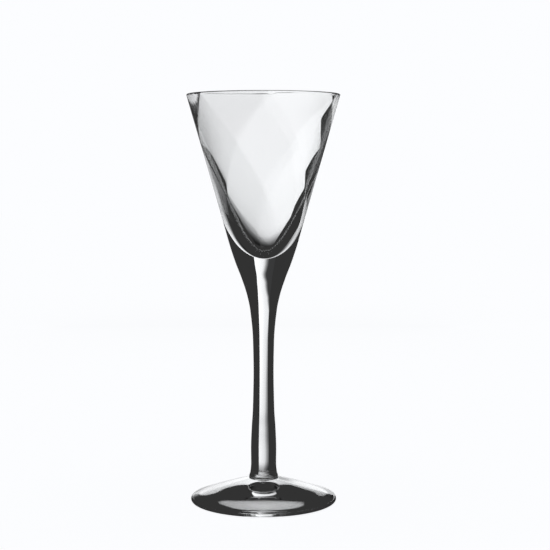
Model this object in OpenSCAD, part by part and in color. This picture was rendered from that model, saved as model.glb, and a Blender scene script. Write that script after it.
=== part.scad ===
// Cordial glass: a blown cone bowl with a diamond optic on its inner face, a drawn stem and a cast foot.
// Millimetres, +Z up. The origin is the middle of the face that the foot rests on, and -Y is the front.

/* [Bowl] */
// Outer diameter of the rim, before its edge is rounded
rim_d = 62; // [52:0.1:74]
// Height of the bowl from its joint with the stem to the rim
bowl_h = 53.5; // [44:0.5:66]
// Outer diameter of the glass at the joint of bowl and stem
joint_d = 31.4; // [28:0.1:35]
// Width of the flat lip around the joint
joint_lip = 3; // [1.5:0.1:4]
// How far the rounded underside of the bowl reaches down into the stem
seat_depth = 13.6; // [10:0.1:18]
// Glass between the bottom of the cavity and the underside of the bowl
bottom_wall = 2.6; // [2:0.1:5]
// Radius of the rounded bottom of the cavity
cavity_tip_r = 4.75; // [2:0.05:6]
// Wall at the rim, on the lines between the diamonds
rim_wall = 1.43; // [1.2:0.01:2.4]
// Rounding of the rim's outer edge
rim_round = 0.5; // [0.2:0.05:0.7]
// How far the blown bubble, which leaves the cavity, sits to the right of the axis
bubble_right = 0.26; // [-0.4:0.02:0.4]
// How far it sits behind the axis
bubble_back = 0.34; // [-0.4:0.02:0.4]

/* [Diamond optic] */
// Number of diamonds around the bowl
optic_count = 6; // [4:1:9]
// Height of half a diamond at the rim
optic_row_h = 18.1; // [10:0.1:22]
// Distance of the first row of crossings below the rim
optic_drop = 1.3; // [0:0.1:8]
// How far the middle of a diamond stands into the cavity at the rim
optic_depth = 0.62; // [0.2:0.02:1]
// How far the rows drop at the right side of the rim and rise at its left
optic_lean = 2; // [0:0.1:5]
// Turn of the pattern about the axis, in degrees
optic_turn = 5.6; // [-30:0.1:30]

/* [Stem] */
// Length of the stem from the foot to the joint with the bowl
stem_h = 102.4; // [80:0.1:125]
// Diameter at the waist of the stem
waist_d = 8.18; // [6.5:0.02:9.6]
// Diameter at the swell in the lower stem
swell_d = 10.36; // [9.7:0.02:13]
// Diameter of the slight narrowing just above the flare
ankle_d = 10.26; // [9:0.02:10.34]
// Diameter of the flared end that stands on the foot
flare_d = 11.9; // [10.6:0.1:15]

/* [Foot] */
// Diameter of the foot
foot_d = 59.4; // [50:0.1:70]
// Height of the foot from the table to the end of the stem
foot_h = 9.1; // [7.5:0.1:13]
// Thickness of the foot at its rounded edge
foot_edge = 1.5; // [1:0.1:2.4]
// How far the top of the foot bulges above a straight cone
foot_crown = 0.3; // [0:0.05:0.8]
// Height of the hollow under the foot
hollow_h = 3.76; // [1:0.02:5.5]
// Width of the flat ring that the foot rests on
rest_w = 2.8; // [0.6:0.1:5]

/* [Hidden] */
$fn = 96;
// How far cuts run past the faces that they open
overrun = 1;

// Places along the stem, as shares of its length from the foot
ankle_share = 0.06;
swell_share = 0.12;
waist_share = 0.42;
// Points of the bead between flare and ankle: share of the length, share of the way from flare to ankle
bead_shares = [[0.012, 0.14], [0.02, 0.54]];
// Points between swell and waist: share of the length, share of the way from swell to waist
taper_shares = [[0.20, 0.27], [0.27, 0.69], [0.33, 0.86]];
// Points between waist and joint: share of the length, share of the way from waist to joint
ogee_shares = [[0.555, 0.02], [0.672, 0.114], [0.731, 0.22], [0.80, 0.416], [0.858, 0.615], [0.93, 0.826]];

// The pattern fades between these shares of the cavity's depth, up from the bottom
fade_shares = [0.07, 0.24];
// How much taller each row of the pattern is than the row above it
growth_share = 0.037;
// Power at which the pattern gets shallower with the cavity's radius
optic_taper = 1.28;
// Share of the cavity's depth that its rounded bottom takes
tip_share = 0.10;
// Power of the curve that the hollow under the foot follows
hollow_power = 1.17;
// Steps along half a diamond
optic_steps = 5;
// Steps down the rounded bottom of the cavity
tip_steps = 6;
// Steps between two stations of the stem's outline
outline_steps = 6;
// Steps along the seat of the bowl and the faces of the foot
curve_steps = 18;
// Steps around a quarter of a rounded edge
edge_steps = 8;

joint_z = foot_h + stem_h;
rim_z = joint_z + bowl_h;
rim_r = rim_d / 2;
joint_r = joint_d / 2;
seat_r = joint_r - joint_lip;
cone_slope = (rim_r - joint_r) / bowl_h;
cone_angle = atan(cone_slope);
flare_r = flare_d / 2;
foot_r = foot_d / 2;
edge_r = foot_edge / 2;
rest_outer_r = foot_r - edge_r;
rest_inner_r = rest_outer_r - rest_w;

// The cavity without its pattern: a cone with a rounded tip, set by its depth and its rim and tip radius
cavity_depth = bowl_h + seat_depth - bottom_wall;
cavity_rim_r = rim_r - rim_wall;
cavity_z = rim_z - cavity_depth;
cavity_spread = (pow(cavity_rim_r, 2) / cavity_depth - 2 * cavity_tip_r) / cavity_depth;
function cavity_r(t) = sqrt(t * (2 * cavity_tip_r + cavity_spread * t));

// Cubic curve through stations [z, r], flat where the outline turns back and never overshooting,
// with a bent flare at its lower end
function secant(p, i) = (p[i + 1][1] - p[i][1]) / (p[i + 1][0] - p[i][0]);
function mean_slope(a, b) = a * b <= 0 ? 0 : 2 * a * b / (a + b);
function station_slope(p, i, last) =
    i == 0 ? 2 * secant(p, 0)
    : i == len(p) - 1 ? last
    : mean_slope(secant(p, i - 1), secant(p, i));
function cubic(a, b, slope_a, slope_b, s) =
    let (h = b[0] - a[0], low = pow(1 - s, 2), high = pow(s, 2))
    low * (1 + 2 * s) * a[1] + low * s * h * slope_a
    + high * (3 - 2 * s) * b[1] - high * (1 - s) * h * slope_b;
function outline(p, last, steps) = [
    for (i = [0 : len(p) - 2], k = [0 : steps - 1])
        let (s = k / steps)
        [cubic(p[i], p[i + 1], station_slope(p, i, last), station_slope(p, i + 1, last), s),
         p[i][0] + s * (p[i + 1][0] - p[i][0])],
    [p[len(p) - 1][1], p[len(p) - 1][0]]
];

function between(a, b, share) = a + share * (b - a);
function stem_place(share) = foot_h + share * stem_h;
stem_stations = concat(
    [[foot_h, flare_r]],
    [for (p = bead_shares) [stem_place(p[0]), between(flare_d, ankle_d, p[1]) / 2]],
    [[stem_place(ankle_share), ankle_d / 2],
     [stem_place(swell_share), swell_d / 2]],
    [for (p = taper_shares) [stem_place(p[0]), between(swell_d, waist_d, p[1]) / 2]],
    [[stem_place(waist_share), waist_d / 2]],
    [for (p = ogee_shares) [stem_place(p[0]), between(waist_d, joint_d, p[1]) / 2]],
    [[joint_z, joint_r]]
);

// Underside of the bowl and cup of the stem, from the lip of the joint down to the axis
seat_outline = [
    for (k = [0 : curve_steps])
        let (a = 90 * k / curve_steps)
        [seat_r * cos(a), joint_z - seat_depth * sin(a)]
];

// Outer edge of the rim, from the side of the cone up to the top
rim_edge_z = rim_z - rim_round;
rim_edge_r = rim_r - rim_round * cone_slope - rim_round / cos(cone_angle);
rim_outline = [
    for (k = [0 : edge_steps])
        let (a = between(-cone_angle, 90, k / edge_steps))
        [rim_edge_r + rim_round * cos(a), rim_edge_z + rim_round * sin(a)]
];

function smooth(s) = let (c = max(0, min(1, s))) c * c * (3 - 2 * c);
function wrap(x) = x - 2 * floor(x / 2);

// Rise of the pattern: 1 in the middle of a diamond, with a crease along each crossing line
function crease_rise(x) = 1 - pow(wrap(x) - 1, 2);
function pillow(across, down) = (crease_rise(across + down) + crease_rise(across - down)) / 2;

// Row of the pattern at height t above the cavity's bottom, counted down from the first crossings, and back
function row_at(t) = let (s = (cavity_depth - optic_drop - t) / optic_row_h) s * (1 - growth_share * s);
function row_t(row) =
    let (s = 2 * row / (1 + sqrt(1 - 4 * growth_share * row)))
    cavity_depth - optic_drop - optic_row_h * s;

// A point of the cavity, at height t above its bottom and at column j around it
optic_columns = 2 * optic_count * optic_steps;
optic_pitch = 180 / optic_count;
lean_share = optic_lean / cavity_depth;
function optic_rise(t, j) =
    optic_depth * pow(cavity_r(t) / cavity_rim_r, optic_taper)
    * smooth((t / cavity_depth - fade_shares[0]) / (fade_shares[1] - fade_shares[0]))
    * pillow(j / optic_steps, row_at(t));
function cavity_point(t, j) =
    let (a = optic_turn + j * optic_pitch / optic_steps,
         up = t * (1 - lean_share * sin(a)),
         r = cavity_r(up) - optic_rise(t, j))
    [bubble_right + r * sin(a), bubble_back - r * cos(a), cavity_z + up];

// Heights of the rows, from above the rim down to just above the bottom
rows_above = ceil(-row_at(cavity_depth + 2 * optic_lean + overrun) * optic_steps);
rows_below = floor(row_at(cavity_depth * tip_share) * optic_steps);
tip_t = row_t(rows_below / optic_steps);
cavity_rows = concat(
    [for (i = [-rows_above : rows_below]) row_t(i / optic_steps)],
    [for (k = [tip_steps - 1 : -1 : 1]) tip_t * pow(k / tip_steps, 2)]
);

// Cavity of the bowl, run past the rim, with the diamonds' edges along edges of its faces
module cavity() {
    rows = len(cavity_rows);
    top = rows * optic_columns;
    function at(i, j) = i * optic_columns + j % optic_columns;
    function on_crossing(i, j) = (i - rows_above + j + 1) % (2 * optic_steps) == 0;
    points = concat(
        [for (t = cavity_rows, j = [0 : optic_columns - 1]) cavity_point(t, j)],
        [for (t = [cavity_rows[0], 0]) [bubble_right, bubble_back, cavity_z + t]]
    );
    sides = [
        for (i = [0 : rows - 2], j = [0 : optic_columns - 1])
            let (a = at(i, j), b = at(i, j + 1), c = at(i + 1, j), d = at(i + 1, j + 1))
            each on_crossing(i, j) ? [[a, b, c], [b, d, c]] : [[a, b, d], [a, d, c]]
    ];
    caps = [
        for (j = [0 : optic_columns - 1])
            each [[at(0, j + 1), at(0, j), top], [at(rows - 1, j), at(rows - 1, j + 1), top + 1]]
    ];
    polyhedron(points, concat(sides, caps));
}

module bowl() {
    color("aliceblue", 0.4)
    difference() {
        rotate_extrude()
            polygon(concat([[0, rim_z]], [for (k = [curve_steps : -1 : 0]) seat_outline[k]],
                           [[joint_r, joint_z]], rim_outline));
        cavity();
    }
}

module stem() {
    color("lightsteelblue", 0.5)
    rotate_extrude()
        polygon(concat([[0, foot_h]], outline(stem_stations, cone_slope, outline_steps), seat_outline));
}

// Top of the foot at share s of the way from the stem to the edge
function foot_top(s) = [
    between(flare_r, rest_outer_r, s),
    between(foot_h, foot_edge, s) + foot_crown * 4 * s * (1 - s)
];
function foot_hollow(s) = [rest_inner_r * s, hollow_h * pow(1 - s * s, hollow_power)];

module foot() {
    color("lightsteelblue", 0.5)
    rotate_extrude()
        polygon(concat(
            [[0, foot_h]],
            [for (k = [0 : curve_steps]) foot_top(k / curve_steps)],
            [for (k = [1 : 2 * edge_steps])
                let (a = 90 - 90 * k / edge_steps)
                [rest_outer_r + edge_r * cos(a), edge_r + edge_r * sin(a)]],
            [for (k = [curve_steps : -1 : 0]) foot_hollow(k / curve_steps)]
        ));
}

bowl();
stem();
foot();
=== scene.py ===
"""Clear crystal cordial glass in bright-field light: optic bowl, drawn stem and cast foot."""

import math

import bpy
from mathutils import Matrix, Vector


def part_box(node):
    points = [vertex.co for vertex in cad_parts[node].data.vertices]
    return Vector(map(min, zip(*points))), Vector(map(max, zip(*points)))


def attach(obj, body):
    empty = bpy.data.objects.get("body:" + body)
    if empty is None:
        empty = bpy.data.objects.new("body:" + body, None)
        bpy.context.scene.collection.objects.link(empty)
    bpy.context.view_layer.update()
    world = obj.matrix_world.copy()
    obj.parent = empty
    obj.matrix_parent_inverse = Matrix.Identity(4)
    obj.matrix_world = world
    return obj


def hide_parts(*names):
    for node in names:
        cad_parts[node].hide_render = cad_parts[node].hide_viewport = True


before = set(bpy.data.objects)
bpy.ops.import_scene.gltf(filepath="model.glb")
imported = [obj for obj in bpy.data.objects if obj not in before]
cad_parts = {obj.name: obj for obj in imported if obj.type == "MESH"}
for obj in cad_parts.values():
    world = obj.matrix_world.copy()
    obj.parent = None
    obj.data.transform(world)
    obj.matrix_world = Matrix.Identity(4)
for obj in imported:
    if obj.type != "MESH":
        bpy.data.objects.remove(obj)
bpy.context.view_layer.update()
MM = 0.001

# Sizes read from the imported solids, in metres
FOOT_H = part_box("foot")[1].z
FOOT_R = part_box("foot")[1].x
JOINT_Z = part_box("stem")[1].z
JOINT_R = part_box("stem")[1].x
SEAT_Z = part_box("bowl")[0].z
RIM_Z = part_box("bowl")[1].z

# Sizes of the bowl, whose cavity sits a little to the right and to the back of the axis
RIM_R = 31 * MM
RIM_WALL = 1.43 * MM
RIM_ROUND = 0.5 * MM
LIP_ROUND = 0.35 * MM
JOINT_LIP = 3 * MM
BOTTOM_WALL = 2.6 * MM
CAVITY_TIP_R = 4.75 * MM
BUBBLE_RIGHT = 0.26 * MM
BUBBLE_BACK = 0.34 * MM

# Sizes of the diamond optic: two crossing families of creases on the wall of the cavity.
# It fades in over a stretch of the cavity's depth, and its rows grow taller downwards.
OPTIC_COUNT = 6
OPTIC_ROW_H = 18.1 * MM
OPTIC_DROP = 1.3 * MM
OPTIC_DEPTH = 0.62 * MM
OPTIC_LEAN = 2 * MM
OPTIC_TURN = math.radians(5.6)
OPTIC_TAPER = 1.28
ROW_GROWTH = 0.037
CREASE_SHARE = 0.033
FADE_SHARES = (0.07, 0.24)

# Sizes of the stem, and points of its outline as shares of its length and of its change in radius.
# At the foot the outline starts FLARE_STEEPER times as steep as the line to its next point.
WAIST_R = 4.09 * MM
SWELL_R = 5.18 * MM
ANKLE_R = 5.13 * MM
FLARE_R = 5.95 * MM
FLARE_STEEPER = 2
ANKLE_SHARE = 0.06
SWELL_SHARE = 0.12
BEAD_SHARES = ((0.012, 0.14), (0.02, 0.54))
WAIST_SHARE = 0.42
TAPER_SHARES = ((0.20, 0.27), (0.27, 0.69), (0.33, 0.86))
OGEE_SHARES = (
    (0.555, 0.02),
    (0.672, 0.114),
    (0.731, 0.22),
    (0.80, 0.416),
    (0.858, 0.615),
    (0.93, 0.826),
)

# Sizes of the foot
FOOT_EDGE = 1.5 * MM
FOOT_CROWN = 0.3 * MM
HOLLOW_H = 3.76 * MM
HOLLOW_POWER = 1.17
REST_W = 2.8 * MM

# Steps of the meshes, and the angle from which an edge is sharp
OPTIC_COLUMNS = 720
PLAIN_COLUMNS = 288
SEAT_STEPS = 24
CONE_STEPS = 12
EDGE_STEPS = 8
CAVITY_STEPS = 320
STEM_STEPS = 14
FOOT_STEPS = 48
SHARP_ANGLE = math.radians(35)

# Looks of the crystal. A noise has a scale per metre and a detail, a span of its values that
# counts, and what that span is turned into.
CRYSTAL_IOR = 1.52
TINT_NOISE = (22, 2)
TINT_SPAN = (0.35, 0.65)
TINTS = ((0.990, 0.995, 0.994, 1), (1, 1, 1, 1))
WAVE_NOISE = (70, 1)
WAVE_HEIGHT = 0.06 * MM
POLISH_NOISE = (160, 3)
POLISH_SPAN = (0.5, 0.75)
POLISH_ROUGHNESS = (0, 0.012)
WEAR_NOISE = (2400, 4)
WEAR_SPAN = (0.3, 0.7)
WEAR_ROUGHNESS = (0.02, 0.08)
WEAR_HEIGHTS = (0.03 * MM, 0.12 * MM)

# Camera, solved from the rim and foot ellipses of the photograph
CAMERA_PLACE = (4.65 * MM, -552 * MM, 137.4 * MM)
CAMERA_PITCH = math.radians(4.674)
CAMERA_LENS = 89.51
SENSOR = 36

# White panel, in metres to the right of the camera's axis and above it
PANEL_DISTANCE = 1.15
PANEL_CORNERS = (
    (-0.187, -0.42),
    (0.15, -0.42),
    (0.155, -0.1),
    (0.12, 0.3),
    (0.12, 0.45),
    (-0.187, 0.45),
)

# Levels of the panel, as stops of place and level: from left to right, and from low to high
PANEL_SIDES = (
    (-0.187, 0.9),
    (-0.1, 0.93),
    (-0.055, 0.975),
    (0.04, 1.165),
    (0.162, 1.335),
)
PANEL_HEIGHTS = (
    (-0.42, 0.05),
    (-0.34, 0.12),
    (-0.275, 0.25),
    (-0.206, 0.52),
    (-0.16, 0.77),
    (-0.1, 0.89),
    (0.04, 1),
    (0.1, 0.99),
    (0.14, 0.96),
    (0.2, 0.92),
)

# Fades of the panel at its lower and upper left corners, by x + tilt * y
FOOT_FADE_TILT = 0.6
FOOT_FADE = (
    (-0.33, 0.08),
    (-0.275, 0.19),
    (-0.235, 0.31),
    (-0.215, 0.46),
    (-0.175, 0.63),
    (-0.16, 0.82),
    (-0.145, 0.95),
    (-0.12, 0.965),
    (-0.09, 1),
)
TOP_FADE_TILT = -0.8
TOP_FADE = (
    (-0.29, 0.05),
    (-0.265, 0.22),
    (-0.245, 0.45),
    (-0.225, 0.8),
    (-0.205, 0.97),
    (-0.195, 1),
)

# Studio: its white with a trace of cool colour, its dim grey, the lamp, and the floor
WHITE = 0.982
COOL = (0.991, 1, 1.018, 1)
DIM = 0.032
LAMP_SHARE = 0.04
LAMP_ANGLE = math.radians(60)
FLOOR_HALF = 3
FLOOR_DROP = 0.1 * MM
FLOOR_COLOUR = 0.8

# Bounces that light needs to find its way through the thick glass
BOUNCES = 32

# Sizes that follow from those above
CONE_SLOPE = (RIM_R - JOINT_R) / (RIM_Z - JOINT_Z)
CAVITY_Z = SEAT_Z + BOTTOM_WALL
CAVITY_DEPTH = RIM_Z - CAVITY_Z
CAVITY_RIM_R = RIM_R - RIM_WALL
CAVITY_SPREAD = (CAVITY_RIM_R**2 / CAVITY_DEPTH - 2 * CAVITY_TIP_R) / CAVITY_DEPTH
LEAN_SHARE = OPTIC_LEAN / CAVITY_DEPTH
EDGE_R = FOOT_EDGE / 2
REST_OUTER_R = FOOT_R - EDGE_R
REST_INNER_R = REST_OUTER_R - REST_W


def between(a, b, share):
    return a + share * (b - a)


def smooth(s):
    c = max(0, min(1, s))
    return c * c * (3 - 2 * c)


def crease_rise(x):
    """Rise of a facet between two parallel creases, which are soft valleys at even x."""
    d = 1 - abs(x % 2 - 1)
    soft = math.sqrt(d * d + CREASE_SHARE**2) - CREASE_SHARE
    return soft * (2 - soft)


def cavity_r(t):
    """Radius of the plain cavity at height t above its bottom."""
    return math.sqrt(max(0, t * (2 * CAVITY_TIP_R + CAVITY_SPREAD * t)))


def optic_rise(up, angle):
    """How far the pattern stands into the cavity, at height up above its bottom."""
    t = up / (1 - LEAN_SHARE * math.sin(angle))
    fade = smooth((t / CAVITY_DEPTH - FADE_SHARES[0]) / (FADE_SHARES[1] - FADE_SHARES[0]))
    rows = (CAVITY_DEPTH - OPTIC_DROP - t) / OPTIC_ROW_H
    down = rows * (1 - ROW_GROWTH * rows)
    across = (angle - OPTIC_TURN) * OPTIC_COUNT / math.pi
    rise = (crease_rise(across + down) + crease_rise(across - down)) / 2
    return OPTIC_DEPTH * (cavity_r(t) / CAVITY_RIM_R) ** OPTIC_TAPER * fade * rise


def cavity_wall(up, angle):
    return cavity_r(up) - optic_rise(up, angle)


def seat_outline():
    """Underside of the bowl and cup of the stem, from near the axis out to the joint's lip."""
    reach = JOINT_R - JOINT_LIP
    angles = [math.pi / 2 * k / SEAT_STEPS for k in range(SEAT_STEPS - 1, -1, -1)]
    return [(reach * math.cos(a), JOINT_Z - (JOINT_Z - SEAT_Z) * math.sin(a)) for a in angles]


def rim_outline():
    """Outer rounding of the rim, from the side of the cone up to the top."""
    tilt = math.atan(CONE_SLOPE)
    r = RIM_R - RIM_ROUND * CONE_SLOPE - RIM_ROUND / math.cos(tilt)
    z = RIM_Z - RIM_ROUND
    angles = [between(-tilt, math.pi / 2, k / EDGE_STEPS) for k in range(EDGE_STEPS + 1)]
    return [(r + RIM_ROUND * math.cos(a), z + RIM_ROUND * math.sin(a)) for a in angles]


def spun(outline, angle, right=0, back=0):
    """Points of an outline (r, z), turned by an angle from the front and moved right and back."""
    return [(right + r * math.sin(angle), back - r * math.cos(angle), z) for r, z in outline]


def bowl_column(angle):
    """Points of the bowl at one angle, from its underside over the rim down into its cavity."""
    rim = rim_outline()
    cone = [
        (between(JOINT_R, rim[0][0], k / CONE_STEPS), between(JOINT_Z, rim[0][1], k / CONE_STEPS))
        for k in range(CONE_STEPS)
    ]
    lip = []
    for k in range(EDGE_STEPS, 0, -1):
        a = math.pi / 2 * k / EDGE_STEPS
        up = CAVITY_DEPTH - LIP_ROUND * (1 - math.sin(a))
        lip.append((cavity_wall(up, angle) + LIP_ROUND * (1 - math.cos(a)), CAVITY_Z + up))
    wall = []
    for k in range(CAVITY_STEPS, 0, -1):
        s = k / CAVITY_STEPS
        up = (CAVITY_DEPTH - LIP_ROUND) * between(s * s, s, s)
        wall.append((cavity_wall(up, angle), CAVITY_Z + up))
    outside = spun(seat_outline() + cone + rim, angle)
    return outside + spun(lip + wall, angle, BUBBLE_RIGHT, BUBBLE_BACK)


def stem_outline():
    """Outline of the stem, a cubic through its stations, from the foot up to the joint."""
    length = JOINT_Z - FOOT_H
    stations = [(0, FLARE_R)]
    stations += [(place, between(FLARE_R, ANKLE_R, share)) for place, share in BEAD_SHARES]
    stations += [(ANKLE_SHARE, ANKLE_R), (SWELL_SHARE, SWELL_R)]
    stations += [(place, between(SWELL_R, WAIST_R, share)) for place, share in TAPER_SHARES]
    stations += [(WAIST_SHARE, WAIST_R)]
    stations += [(place, between(WAIST_R, JOINT_R, share)) for place, share in OGEE_SHARES]
    stations += [(1, JOINT_R)]
    stations = [(FOOT_H + place * length, r) for place, r in stations]
    secants = [(b[1] - a[1]) / (b[0] - a[0]) for a, b in zip(stations, stations[1:])]
    slopes = [FLARE_STEEPER * secants[0]]
    for a, b in zip(secants, secants[1:]):
        slopes.append(0 if a * b <= 0 else 2 * a * b / (a + b))
    slopes.append(CONE_SLOPE)
    points = []
    for i in range(len(stations) - 1):
        (z0, r0), (z1, r1) = stations[i], stations[i + 1]
        for k in range(STEM_STEPS):
            s = k / STEM_STEPS
            low, high = (1 - s) ** 2, s * s
            r = low * (1 + 2 * s) * r0 + low * s * (z1 - z0) * slopes[i]
            r += high * (3 - 2 * s) * r1 - high * (1 - s) * (z1 - z0) * slopes[i + 1]
            points.append((r, between(z0, z1, s)))
    return points + [(JOINT_R, JOINT_Z)]


def foot_top(s):
    """Point of the foot's upper face, at share s of the way from the stem to the edge."""
    crown = FOOT_CROWN * 4 * s * (1 - s)
    return between(FLARE_R, REST_OUTER_R, s), between(FOOT_H, FOOT_EDGE, s) + crown


def foot_outline():
    """Outline of the foot, from the hollow's middle out to its edge and up to the stem."""
    shares = [k / FOOT_STEPS for k in range(1, FOOT_STEPS + 1)]
    hollow = [(REST_INNER_R * s, HOLLOW_H * (1 - s * s) ** HOLLOW_POWER) for s in shares]
    edge = []
    for k in range(2 * EDGE_STEPS):
        a = math.pi / 2 * (k / EDGE_STEPS - 1)
        edge.append((REST_OUTER_R + EDGE_R * math.cos(a), EDGE_R + EDGE_R * math.sin(a)))
    top = [foot_top(k / FOOT_STEPS) for k in range(FOOT_STEPS, -1, -1)]
    return hollow + edge + top


def turned(name, columns, column, start, end, fused):
    """A closed mesh round Z, from the point start to the point end.

    column(angle) gives its points at one angle, and fused(row) says which rows of faces are joints.
    """
    angles = [2 * math.pi * j / columns for j in range(columns)]
    points = []
    for a in angles:
        points += column(a)
    rows = len(points) // columns
    points += [start, end]
    first, last = len(points) - 2, len(points) - 1
    faces, joints = [], []
    for j in range(columns):
        a, b = j * rows, (j + 1) % columns * rows
        faces.append((first, b, a))
        joints.append(fused(0))
        for i in range(rows - 1):
            faces.append((a + i, b + i, b + i + 1, a + i + 1))
            joints.append(fused(i + 1))
        faces.append((a + rows - 1, b + rows - 1, last))
        joints.append(fused(rows))
    mesh = bpy.data.meshes.new(name)
    mesh.from_pydata(points, [], faces)
    mesh.polygons.foreach_set("use_smooth", [True] * len(faces))
    mesh.polygons.foreach_set("material_index", [int(x) for x in joints])
    mesh.set_sharp_from_angle(angle=SHARP_ANGLE)
    mesh.update()
    piece = bpy.data.objects.new(name, mesh)
    bpy.context.scene.collection.objects.link(piece)
    return piece


def new_material(name):
    material = bpy.data.materials.new(name)
    material.use_nodes = True
    material.node_tree.nodes.clear()
    output = material.node_tree.nodes.new("ShaderNodeOutputMaterial")
    return material, material.node_tree, output


def map_range(tree, source, span, levels, kind="LINEAR"):
    """The source's values over span, turned into the two levels and what lies between them."""
    node = tree.nodes.new("ShaderNodeMapRange")
    node.interpolation_type = kind
    node.inputs["From Min"].default_value = span[0]
    node.inputs["From Max"].default_value = span[1]
    node.inputs["To Min"].default_value = levels[0]
    node.inputs["To Max"].default_value = levels[1]
    tree.links.new(source, node.inputs["Value"])
    return node.outputs["Result"]


def ramp(tree, source, stops):
    """The source's values turned into levels, along straight lines from stop to stop."""
    low, high = stops[0][0], stops[-1][0]
    node = tree.nodes.new("ShaderNodeValToRGB")
    elements = node.color_ramp.elements
    elements.remove(elements[1])
    for k, (place, level) in enumerate(stops):
        element = elements.new((place - low) / (high - low)) if k else elements[0]
        element.color = (level, level, level, 1)
    tree.links.new(map_range(tree, source, (low, high), (0, 1)), node.inputs["Fac"])
    return node.outputs["Color"]


def math_node(tree, operation, first, second):
    node = tree.nodes.new("ShaderNodeMath")
    node.operation = operation
    tree.links.new(first, node.inputs[0])
    tree.links.new(second, node.inputs[1])
    return node.outputs["Value"]


def crystal_material():
    """Clear crystal: faint waves and tint, uneven polish, and a worn ring where the foot rests."""
    material, tree, output = new_material("crystal")
    nodes, links = tree.nodes, tree.links
    place = nodes.new("ShaderNodeTexCoord").outputs["Object"]

    def noise(scale, detail):
        node = nodes.new("ShaderNodeTexNoise")
        node.inputs["Scale"].default_value = scale
        node.inputs["Detail"].default_value = detail
        links.new(place, node.inputs["Vector"])
        return node.outputs["Fac"]

    tint = nodes.new("ShaderNodeMix")
    tint.data_type = "RGBA"
    tint.inputs["A"].default_value = TINTS[0]
    tint.inputs["B"].default_value = TINTS[1]
    links.new(map_range(tree, noise(*TINT_NOISE), TINT_SPAN, (0, 1)), tint.inputs["Factor"])

    axes = nodes.new("ShaderNodeSeparateXYZ")
    links.new(place, axes.inputs["Vector"])
    ring = map_range(tree, axes.outputs["Z"], WEAR_HEIGHTS, (1, 0), "SMOOTHSTEP")
    wear = map_range(tree, noise(*WEAR_NOISE), WEAR_SPAN, WEAR_ROUGHNESS)
    polish = map_range(tree, noise(*POLISH_NOISE), POLISH_SPAN, POLISH_ROUGHNESS)
    roughness = math_node(tree, "ADD", math_node(tree, "MULTIPLY", ring, wear), polish)

    waves = nodes.new("ShaderNodeBump")
    waves.inputs["Strength"].default_value = 1
    waves.inputs["Distance"].default_value = WAVE_HEIGHT
    links.new(noise(*WAVE_NOISE), waves.inputs["Height"])

    shader = nodes.new("ShaderNodeBsdfPrincipled")
    shader.inputs["Transmission Weight"].default_value = 1
    shader.inputs["IOR"].default_value = CRYSTAL_IOR
    links.new(tint.outputs["Result"], shader.inputs["Base Color"])
    links.new(roughness, shader.inputs["Roughness"])
    links.new(waves.outputs["Normal"], shader.inputs["Normal"])
    links.new(shader.outputs["BSDF"], output.inputs["Surface"])
    return material


def fused_material():
    """Joint of two gathers of the same glass, which lets light straight through."""
    material, tree, output = new_material("fused_joint")
    shader = tree.nodes.new("ShaderNodeBsdfTransparent")
    tree.links.new(shader.outputs["BSDF"], output.inputs["Surface"])
    return material


CRYSTAL = crystal_material()
FUSED = fused_material()


def dress(piece, node):
    piece.data.materials.append(CRYSTAL)
    piece.data.materials.append(FUSED)
    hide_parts(node)
    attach(piece, "root")


def make_glass():
    """The three pieces, each fused to the next at faces that they share."""
    stem = stem_outline()
    foot = foot_outline()
    seat = seat_outline()[::-1]
    seat_mid, stem_mid, hollow_mid = (0, 0, SEAT_Z), (0, 0, FOOT_H), (0, 0, HOLLOW_H)
    cavity_mid = (BUBBLE_RIGHT, BUBBLE_BACK, CAVITY_Z)
    dress(
        turned(
            "bowl_crystal",
            OPTIC_COLUMNS,
            bowl_column,
            seat_mid,
            cavity_mid,
            lambda i: i <= SEAT_STEPS,
        ),
        "bowl",
    )
    dress(
        turned(
            "stem_crystal",
            PLAIN_COLUMNS,
            lambda a: spun(stem + seat, a),
            stem_mid,
            seat_mid,
            lambda i: i == 0 or i >= len(stem),
        ),
        "stem",
    )
    dress(
        turned(
            "foot_crystal",
            PLAIN_COLUMNS,
            lambda a: spun(foot, a),
            hollow_mid,
            stem_mid,
            lambda i: i == len(foot),
        ),
        "foot",
    )


def stage_sheet(name, corners):
    """A flat sheet of the studio, which isn't part of the object."""
    mesh = bpy.data.meshes.new(name)
    mesh.from_pydata([(x, y, 0) for x, y in corners], [], [range(len(corners))])
    piece = bpy.data.objects.new(name, mesh)
    bpy.context.scene.collection.objects.link(piece)
    return piece


def make_camera():
    data = bpy.data.cameras.new("camera")
    data.lens = CAMERA_LENS
    data.sensor_width = SENSOR
    camera = bpy.data.objects.new("camera", data)
    camera.location = CAMERA_PLACE
    camera.rotation_euler = (math.pi / 2 - CAMERA_PITCH, 0, 0)
    bpy.context.scene.collection.objects.link(camera)
    bpy.context.scene.camera = camera
    return camera


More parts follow.
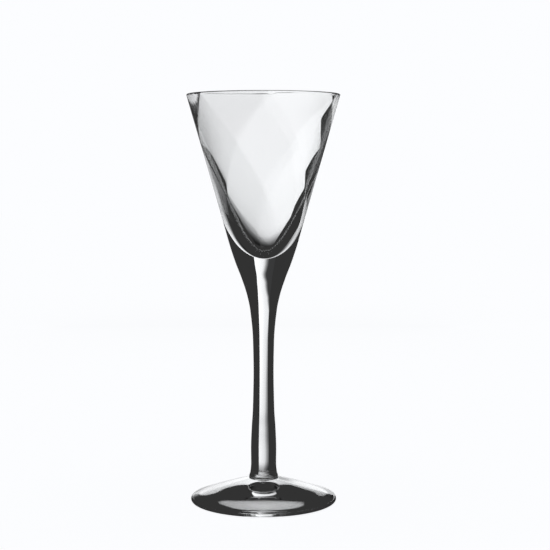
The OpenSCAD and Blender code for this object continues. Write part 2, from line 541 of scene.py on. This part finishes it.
def make_backdrop(camera):
    """A white panel behind the glass, which moves with the camera and is seen by the glass alone.

    It is little wider than the glass, so that the glass gets dark edges.
    """
    panel = stage_sheet("backdrop", PANEL_CORNERS)
    panel.parent = camera
    panel.location.z = -PANEL_DISTANCE
    panel.visible_camera = False
    panel.visible_diffuse = False
    material, tree, output = new_material("backdrop_white")
    nodes, links = tree.nodes, tree.links
    place = nodes.new("ShaderNodeTexCoord")
    axes = nodes.new("ShaderNodeSeparateXYZ")
    links.new(place.outputs["Object"], axes.inputs["Vector"])
    side = ramp(tree, axes.outputs["X"], PANEL_SIDES)
    height = ramp(tree, axes.outputs["Y"], PANEL_HEIGHTS)
    level = math_node(tree, "MULTIPLY", side, height)
    for tilt, stops in ((FOOT_FADE_TILT, FOOT_FADE), (TOP_FADE_TILT, TOP_FADE)):
        slant = nodes.new("ShaderNodeMath")
        slant.operation = "MULTIPLY_ADD"
        slant.inputs[1].default_value = tilt
        links.new(axes.outputs["Y"], slant.inputs[0])
        links.new(axes.outputs["X"], slant.inputs[2])
        level = math_node(tree, "MULTIPLY", level, ramp(tree, slant.outputs["Value"], stops))
    shader = nodes.new("ShaderNodeEmission")
    shader.inputs["Color"].default_value = COOL
    links.new(level, shader.inputs["Strength"])
    links.new(shader.outputs["Emission"], output.inputs["Surface"])
    panel.data.materials.append(material)


def make_floor():
    """A white floor with the object's faint shadow. Glass sees past it to the backdrop."""
    h = FLOOR_HALF
    floor = stage_sheet("floor", ((-h, -h), (h, -h), (h, h), (-h, h)))
    floor.location.z = -FLOOR_DROP
    material, tree, output = new_material("floor_white")
    nodes, links = tree.nodes, tree.links
    path = nodes.new("ShaderNodeLightPath")
    clear = nodes.new("ShaderNodeBsdfTransparent")
    glow = nodes.new("ShaderNodeEmission")
    glow.inputs["Color"].default_value = COOL
    glow.inputs["Strength"].default_value = WHITE - LAMP_SHARE - DIM * FLOOR_COLOUR
    cloth = nodes.new("ShaderNodeBsdfDiffuse")
    cloth.inputs["Color"].default_value = (FLOOR_COLOUR, FLOOR_COLOUR, FLOOR_COLOUR, 1)
    both = nodes.new("ShaderNodeAddShader")
    mix = nodes.new("ShaderNodeMixShader")
    links.new(glow.outputs["Emission"], both.inputs[0])
    links.new(cloth.outputs["BSDF"], both.inputs[1])
    links.new(path.outputs["Is Camera Ray"], mix.inputs["Fac"])
    links.new(clear.outputs["BSDF"], mix.inputs[1])
    links.new(both.outputs["Shader"], mix.inputs[2])
    links.new(mix.outputs["Shader"], output.inputs["Surface"])
    floor.data.materials.append(material)


def make_world():
    """White to the camera, and a dim grey studio to everything else."""
    world = bpy.data.worlds.new("studio")
    bpy.context.scene.world = world
    world.use_nodes = True
    tree = world.node_tree
    tree.nodes.clear()
    output = tree.nodes.new("ShaderNodeOutputWorld")
    path = tree.nodes.new("ShaderNodeLightPath")
    dim = tree.nodes.new("ShaderNodeBackground")
    dim.inputs["Color"].default_value = (DIM, DIM, DIM, 1)
    white = tree.nodes.new("ShaderNodeBackground")
    white.inputs["Color"].default_value = COOL
    white.inputs["Strength"].default_value = WHITE
    mix = tree.nodes.new("ShaderNodeMixShader")
    tree.links.new(path.outputs["Is Camera Ray"], mix.inputs["Fac"])
    tree.links.new(dim.outputs["Background"], mix.inputs[1])
    tree.links.new(white.outputs["Background"], mix.inputs[2])
    tree.links.new(mix.outputs["Shader"], output.inputs["Surface"])


def make_lamp():
    """A wide soft lamp straight above, which lights the floor evenly and gives the faint shadow."""
    data = bpy.data.lights.new("softbox", "SUN")
    data.angle = LAMP_ANGLE
    data.energy = LAMP_SHARE * math.pi / FLOOR_COLOUR
    lamp = bpy.data.objects.new("softbox", data)
    lamp.visible_transmission = False
    lamp.visible_glossy = False
    lamp.visible_camera = False
    bpy.context.scene.collection.objects.link(lamp)


make_glass()
CAMERA = make_camera()
make_backdrop(CAMERA)
make_floor()
make_world()
make_lamp()
bpy.context.scene.view_settings.view_transform = "Standard"
bpy.context.scene.cycles.max_bounces = BOUNCES
bpy.context.scene.cycles.transmission_bounces = BOUNCES
bpy.context.scene.cycles.glossy_bounces = BOUNCES
bpy.context.scene.cycles.transparent_max_bounces = BOUNCES
